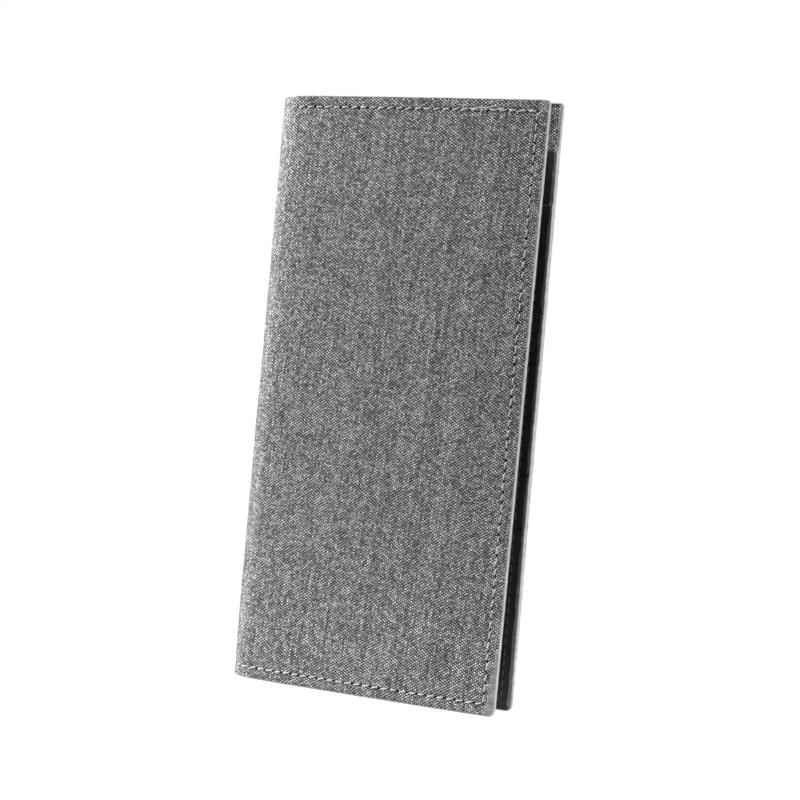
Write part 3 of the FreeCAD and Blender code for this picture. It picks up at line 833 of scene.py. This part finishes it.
def make_edge_paint(side):
    """The bead of paint over the cut edges of a leaf and its half of the fold."""
    s, z, out_s, out_z, travel = outline()
    lap = paint_lap(side, s, z, travel)
    deep = coat_depth(side, s, z)
    back_lap = inner_lap(side, s, z, travel)
    fore = on_fore_edge(s)
    line = 0 * travel
    proud = 0.03 * ripple(travel, line, 4.0, 97 + side) + 0.015 * ripple(travel, line, 1.1, 99)
    film = ((-1.0, 0.004), (-0.8, 0.035), (-0.4, 0.05), (0.0, 0.06))
    bead = ((-0.36, -0.01), (-0.22, 0.06), (-0.10, 0.17), (-0.03, 0.31))
    back = ((0.05, 0.05), (0.4, 0.045), (0.8, 0.03), (1.0, 0.004))
    offsets, depths = [], []
    for share, height in film:
        offset = -CUT_INSET + share * lap
        offsets.append(offset)
        depths.append(-cover_relief(side, s + offset * out_s, z + offset * out_z) - height)
    for offset, share in bead:
        offsets.append(offset + proud)
        depths.append(share * deep)
    offsets.append(proud)
    depths.append(deep / 2)
    for offset, share in bead[::-1]:
        offsets.append(offset + proud)
        depths.append(deep - share * deep)
    for share, height in back:
        offset = -CUT_INSET - share * back_lap
        offsets.append(offset)
        face = inner_depth(side, z + offset * out_z)
        beside_pockets = np.maximum(face, COAT_DEPTH) if side == REAR else deep
        depths.append(deep + (beside_pockets - deep) * fore + height)
    offsets = np.stack(offsets, 1)
    depths = np.stack(depths, 1)
    count = offsets.shape[1]
    across = np.linspace(0, 1, count)[None, :]
    hidden_offsets = np.minimum(offsets, -CUT_INSET - 0.04)
    top = depths[:, :1] + 0.04
    hidden_depths = top + across * (deep[:, None] - 0.03 - top)
    loop_offsets = np.concatenate([offsets, hidden_offsets[:, ::-1]], 1)
    loop_depths = np.concatenate([depths, hidden_depths[:, ::-1]], 1)
    at_s = np.maximum(s[:, None] + loop_offsets * out_s[:, None], 0)
    at_z = z[:, None] + loop_offsets * out_z[:, None]
    points = place(side, at_s, at_z, loop_depths)
    around = np.concatenate([np.linspace(0, 4, count), np.linspace(8, 4, count)[::-1]])
    uv = np.stack(np.broadcast_arrays(travel[:, None] + 300 * (side + 1), around[None, :]), -1)
    piece = swept(SIDE_NAME[side] + "_edge_paint", [(points, uv)], paint)
    over_fold(piece, side, "edge_paint", SIDE_NAME[side] + "_edge_coat", "spine_edge_coat")


def strand(side, path, radius, around=6):
    """A round strand along a path of flat points (s, z, depth)."""
    path = np.asarray(path, float)
    tangent = np.gradient(path, axis=0)
    tangent /= np.linalg.norm(tangent, axis=1)[:, None]
    sideways = np.cross(tangent, (0.0, 0.0, 1.0))
    sideways /= np.linalg.norm(sideways, axis=1)[:, None]
    upwards = np.cross(sideways, tangent)
    angle = np.linspace(0, 2 * math.pi, around, endpoint=False)[None, :, None]
    radius = np.broadcast_to(np.asarray(radius, float), (len(path),))[:, None, None]
    outwards = np.cos(angle) * sideways[:, None, :] + np.sin(angle) * upwards[:, None, :]
    ring = path[:, None, :] + radius * outwards
    points = place(side, np.maximum(ring[..., 0], 0.0), ring[..., 1], ring[..., 2])
    travel = np.concatenate([[0], np.cumsum(np.linalg.norm(np.diff(path, axis=0), axis=1))])
    turn = np.linspace(0, 1, around)
    uv = np.stack(np.broadcast_arrays(travel[:, None] + path[0, 0] + path[0, 1], turn[None, :]), -1)
    return points, uv


def stitch(side, s, z, along, depth_at, length=STITCH_LENGTH, slant=STITCH_SLANT, plies=2, radius=0.145,
           rise=0.17, phase=0.0):
    """One stitch, its ends diving into the needle holes: two twisted plies on the cover, or a
    single one on the inside.
    """
    t = np.linspace(-1, 1, 11 if plies == 2 else 8)
    direction = along + slant
    reach = length / 2 * t
    centre_s = s + reach * math.cos(direction)
    centre_z = z + reach * math.sin(direction)
    dive = 0.30 * np.abs(t) ** 5
    outward = -1.0 if plies == 2 else 1.0
    apart = PLY_OFFSET if plies == 2 else 0.0
    level = depth_at(centre_s, centre_z) + outward * (rise - dive)
    parts = []
    for ply in range(plies):
        turn = math.pi * ply + 1.3 * math.pi * t + phase
        path = np.stack([centre_s - apart * np.cos(turn) * math.sin(direction),
                         centre_z + apart * np.cos(turn) * math.cos(direction),
                         level + apart * np.sin(turn)], -1)
        thick = radius * (1 - 0.45 * np.abs(t) ** 6)
        parts.append(strand(side, path, thick))
    return parts


def seam_stations():
    """(s, z, direction) of each stitch on a leaf, round its three sewn edges."""
    found = []
    for k in range(END_STITCHES):
        found.append((SEAM_S - (k + 0.5) * STITCH_PITCH, HEIGHT - SEAM_INSET, 0.0))
        found.append((SEAM_S - (k + 0.5) * STITCH_PITCH, SEAM_INSET, 0.0))
    pitch = (HEIGHT - 2 * SEAM_INSET) / EDGE_STITCHES
    for k in range(EDGE_STITCHES):
        found.append((SEAM_S, SEAM_INSET + (k + 0.5) * pitch, math.pi / 2))
    return found


def fold_stations():
    """(s, z, direction) of each stitch on half of the fold."""
    start = SEAM_S - END_STITCHES * STITCH_PITCH
    pitch = start / FOLD_STITCHES
    heights = (SEAM_INSET, HEIGHT - SEAM_INSET)
    return [((k + 0.5) * pitch, z, 0.0) for k in range(FOLD_STITCHES) for z in heights]


def back_tack(side, depth_at, draw):
    """The seam's locked end at the top: a second, uneven pass and a two-ply tail."""
    parts = []
    for k in range(BACK_TACK_STITCHES):
        s = SEAM_S - 2.0 - (k + 0.1 + draw.uniform(-0.12, 0.12)) * STITCH_PITCH
        z = HEIGHT - SEAM_INSET + draw.uniform(-0.1, 0.45)
        slant = math.radians(draw.uniform(-16, 22))
        parts += stitch(side, s, z, 0.0, depth_at, STITCH_LENGTH * draw.uniform(0.8, 1.15), slant,
                        rise=0.26, phase=draw.uniform(0, 6))
    t = np.linspace(0, 1, 18)
    tail_s = TAIL_START + TAIL_LENGTH * t
    tail_z = HEIGHT - SEAM_INSET + 0.25 + 1.15 * smooth(t) + 0.25 * np.sin(7 * t)
    lift = 0.22 + 0.35 * np.sin(math.pi * np.minimum(t * 1.2, 1.0))
    for ply in range(2):
        turn = math.pi * ply + 11 * t
        path = np.stack([tail_s, tail_z + 0.09 * np.cos(turn),
                         depth_at(tail_s, tail_z) - lift + 0.09 * np.sin(turn)], -1)
        parts.append(strand(side, path, 0.11 * (1 - 0.3 * t)))
    return parts


def make_seam(side):
    """The pale top thread of a leaf's seam, and dark ovals that paint the shade down the needle holes
    between its stitches.
    """
    draw = np.random.RandomState(30 + side)

    def depth_at(s, z):
        return -cover_relief(side, s, z)

    parts = []
    for s, z, along in seam_stations():
        s = s + draw.uniform(-0.08, 0.08)
        z = z + draw.uniform(-0.06, 0.06)
        slant = STITCH_SLANT * draw.uniform(0.4, 1.5) * -side * math.cos(2 * along)
        parts += stitch(side, s, z, along, depth_at, STITCH_LENGTH * draw.uniform(0.94, 1.06), slant,
                        phase=draw.uniform(0, 6))
    if side == FRONT:
        parts += back_tack(side, depth_at, draw)
    piece = swept(SIDE_NAME[side] + "_seam_stitches", parts, pale_thread)
    on_leaf(piece, side, "thread", SIDE_NAME[side] + "_seam_thread")

    # dark ovals just above the cloth: painted shade down the needle holes
    holes = []
    for s, z, along in seam_stations():
        step_s = STITCH_PITCH / 2 * math.cos(along)
        step_z = STITCH_PITCH / 2 * math.sin(along)
        holes.append(hole(side, s + step_s, z + step_z, along, depth_at, draw))
    needle_shade_piece = swept(SIDE_NAME[side] + "_needle_hole_painted_shades", holes, needle_shade_material)
    on_leaf(needle_shade_piece, side, "canvas")


def hole(side, s, z, along, depth_at, draw):
    """A dark dished oval, lifted just above the cloth where the needle went through, that paints the shade
    down the hole.
    """
    size = draw.uniform(0.8, 1.15)
    angle = np.linspace(0, 2 * math.pi, 12, endpoint=False)
    rings = []
    dish = ((0.02, 0.03), (0.5, 0.035), (0.85, 0.04), (1.0, 0.01),
            (0.9, -0.06), (0.5, -0.08), (0.02, -0.08))
    for share, lift in dish:
        out = share * size * HOLE_HALF_LENGTH * np.cos(angle)
        over = share * size * HOLE_HALF_WIDTH * np.sin(angle)
        at_s = s + out * math.cos(along) - over * math.sin(along)
        at_z = z + out * math.sin(along) + over * math.cos(along)
        rings.append(np.stack([at_s, at_z, depth_at(at_s, at_z) - lift], -1))
    flat = np.stack(rings)
    points = place(side, flat[..., 0], flat[..., 1], flat[..., 2])
    return points, flat[..., :2]


def make_fold_seam(side):
    """The top thread where the end seams cross the fold."""
    parts = []
    for s, z, along in fold_stations():
        parts += stitch(side, s, z, along, lambda a, b: -cover_relief(side, a, b),
                        slant=-STITCH_SLANT * side)
    piece = swept(SIDE_NAME[side] + "_fold_stitches", parts, pale_thread)
    over_fold(piece, side, "thread", "spine_seam_thread")


def inner_depth(side, z):
    """Depth of the innermost face of a leaf: the lowest mouth above a point is the nearest strip."""
    index = np.ceil((z - FIRST_FOOT - POCKET_CUT) / MOUTH_SPACING)
    index = np.maximum(index, 0)
    lean = pocket_lean(side)
    strip = pocket_base(side) + (z - FIRST_FOOT - MOUTH_SPACING * index) * lean + POCKET_CLOTH
    count = REAR_POCKETS if side == REAR else FRONT_POCKETS
    highest = FIRST_FOOT + MOUTH_SPACING * (count - 1) + POCKET_CUT
    bare = np.where(z < LAST_MOUTH, SLIP[1], PANEL[1]) if side == FRONT else PANEL[1]
    covered = (z > FIRST_FOOT) & (z < highest)
    return np.where(covered, strip, np.where(z < FIRST_FOOT, PANEL[1], bare))


def make_bobbin_seam(side):
    """The grey under thread on the inside, and the row that closes the pockets at the fold side."""
    parts = []
    stations = seam_stations()
    rows = int((HEIGHT - 2 * SEAM_INSET) / STITCH_PITCH)
    for k in range(rows):
        stations.append((LEAF_S + 2.0, SEAM_INSET + (k + 0.5) * STITCH_PITCH, math.pi / 2))
    for s, z, along in stations:
        parts += stitch(side, s, z, along, lambda _, height: inner_depth(side, height),
                        length=2.7, slant=0.05, plies=1, radius=0.13, rise=0.07)
    piece = swept(SIDE_NAME[side] + "_under_stitches", parts, under_thread)
    on_leaf(piece, side, "thread", SIDE_NAME[side] + "_seam_thread")


for half in (FRONT, REAR):
    make_stiffener(half)
    make_cover(half)
    make_lining(half)
    make_panel(half)
    make_edge_paint(half)
    make_seam(half)
    make_fold_seam(half)
    make_bobbin_seam(half)
make_pockets(REAR, REAR_POCKETS)
make_pockets(FRONT, FRONT_POCKETS)
make_slip_pocket()


# ---- floor, light and camera, in metres
FLOOR_RADIUS = 0.14
FLOOR_SIDES = 64
ROOM_LIGHT = 0.20


def make_floor():
    """A round pale floor with a faint mottle, that ends where the white room takes over."""
    graph = Graph("pale_floor")
    coordinates = graph.node("ShaderNodeTexCoord").outputs["Object"]
    mottle = graph.noise(coordinates, 6.0, 2.0)
    colour = graph.colours(mottle, (0.0, grey(0.22)), (1.0, grey(0.26)))
    graph.surface(colour, 0.9, graph.bump(mottle, 0.0002, 0.2), Specular_IOR_Level=0.1,
                  Emission_Strength=0.93, Emission_Color=(1.0, 1.0, 1.0, 1.0))
    angle = np.linspace(0, 2 * math.pi, FLOOR_SIDES, endpoint=False)
    circle = np.stack([np.cos(angle), np.sin(angle), 0 * angle], -1)
    points = np.concatenate([np.zeros((1, 3)), FLOOR_RADIUS / 2 * circle, FLOOR_RADIUS * circle])
    faces = []
    for k in range(1, FLOOR_SIDES + 1):
        following = k % FLOOR_SIDES + 1
        faces.append((0, k, following))
        faces.append((k, FLOOR_SIDES + k, FLOOR_SIDES + following, following))
    mesh = bpy.data.meshes.new("floor")
    mesh.from_pydata(points.tolist(), [], faces)
    mesh.materials.append(graph.material)
    floor = add_object("floor", mesh)
    floor.location.z = -0.0001


AZIMUTH = math.radians(27.590)
ELEVATION = math.radians(-0.084)
ROLL = math.radians(5.104)
DISTANCE = 0.7205
LENS = 99.35
TARGET = Vector((0.00326, 0.0, 0.09678))


def direction(azimuth, elevation):
    """Unit vector from the object towards a viewer at those angles."""
    return Vector((math.sin(azimuth) * math.cos(elevation), -math.cos(azimuth) * math.cos(elevation),
                   math.sin(elevation)))


def make_camera():
    """A long lens, slightly rolled."""
    data = bpy.data.cameras.new("camera")
    data.lens = LENS
    back = direction(AZIMUTH, ELEVATION)
    right = (-back).cross(Vector((0, 0, 1))).normalized()
    up = right.cross(-back)
    side_axis = right * math.cos(ROLL) + up * math.sin(ROLL)
    up_axis = -right * math.sin(ROLL) + up * math.cos(ROLL)
    turn = Matrix((side_axis, up_axis, back)).transposed().to_4x4()
    made = add_object("camera", data)
    made.matrix_world = Matrix.Translation(TARGET + back * DISTANCE) @ turn
    bpy.context.scene.camera = made


def make_light(name, azimuth, elevation, distance, width, height, power):
    """A soft box that looks at the wallet."""
    data = bpy.data.lights.new(name, "AREA")
    data.shape = "RECTANGLE"
    data.size = width
    data.size_y = height
    data.energy = power
    towards = direction(math.radians(azimuth), math.radians(elevation))
    made = add_object(name, data)
    made.location = TARGET + towards * distance
    made.rotation_mode = "QUATERNION"
    made.rotation_quaternion = towards.to_track_quat("Z", "Y")


def make_world():
    """An even room that looks white, and lights the wallet less than that."""
    world = bpy.data.worlds.new("white_room")
    world.use_nodes = True
    tree = world.node_tree
    tree.nodes.clear()
    seen = tree.nodes.new("ShaderNodeBackground")
    lit = tree.nodes.new("ShaderNodeBackground")
    seen.inputs["Color"].default_value = (1.0, 1.0, 1.0, 1.0)
    seen.inputs["Strength"].default_value = 1.0
    lit.inputs["Color"].default_value = (1.0, 0.995, 1.0, 1.0)
    lit.inputs["Strength"].default_value = ROOM_LIGHT
    path = tree.nodes.new("ShaderNodeLightPath")
    mix = tree.nodes.new("ShaderNodeMixShader")
    out = tree.nodes.new("ShaderNodeOutputWorld")
    tree.links.new(path.outputs["Is Camera Ray"], mix.inputs[0])
    tree.links.new(lit.outputs[0], mix.inputs[1])
    tree.links.new(seen.outputs[0], mix.inputs[2])
    tree.links.new(mix.outputs[0], out.inputs[0])
    bpy.context.scene.world = world


make_floor()
make_camera()
# azimuth and elevation in degrees, distance, width and height in metres, power in watts
make_light("left_box", -80, 27, 0.45, 0.22, 0.42, 5.4)
make_light("right_box", 112, 10, 0.9, 0.7, 0.9, 11.0)
make_light("top_box", -10, 66, 0.8, 0.3, 0.3, 4.6)
make_world()
bpy.context.scene.view_settings.view_transform = "Standard"
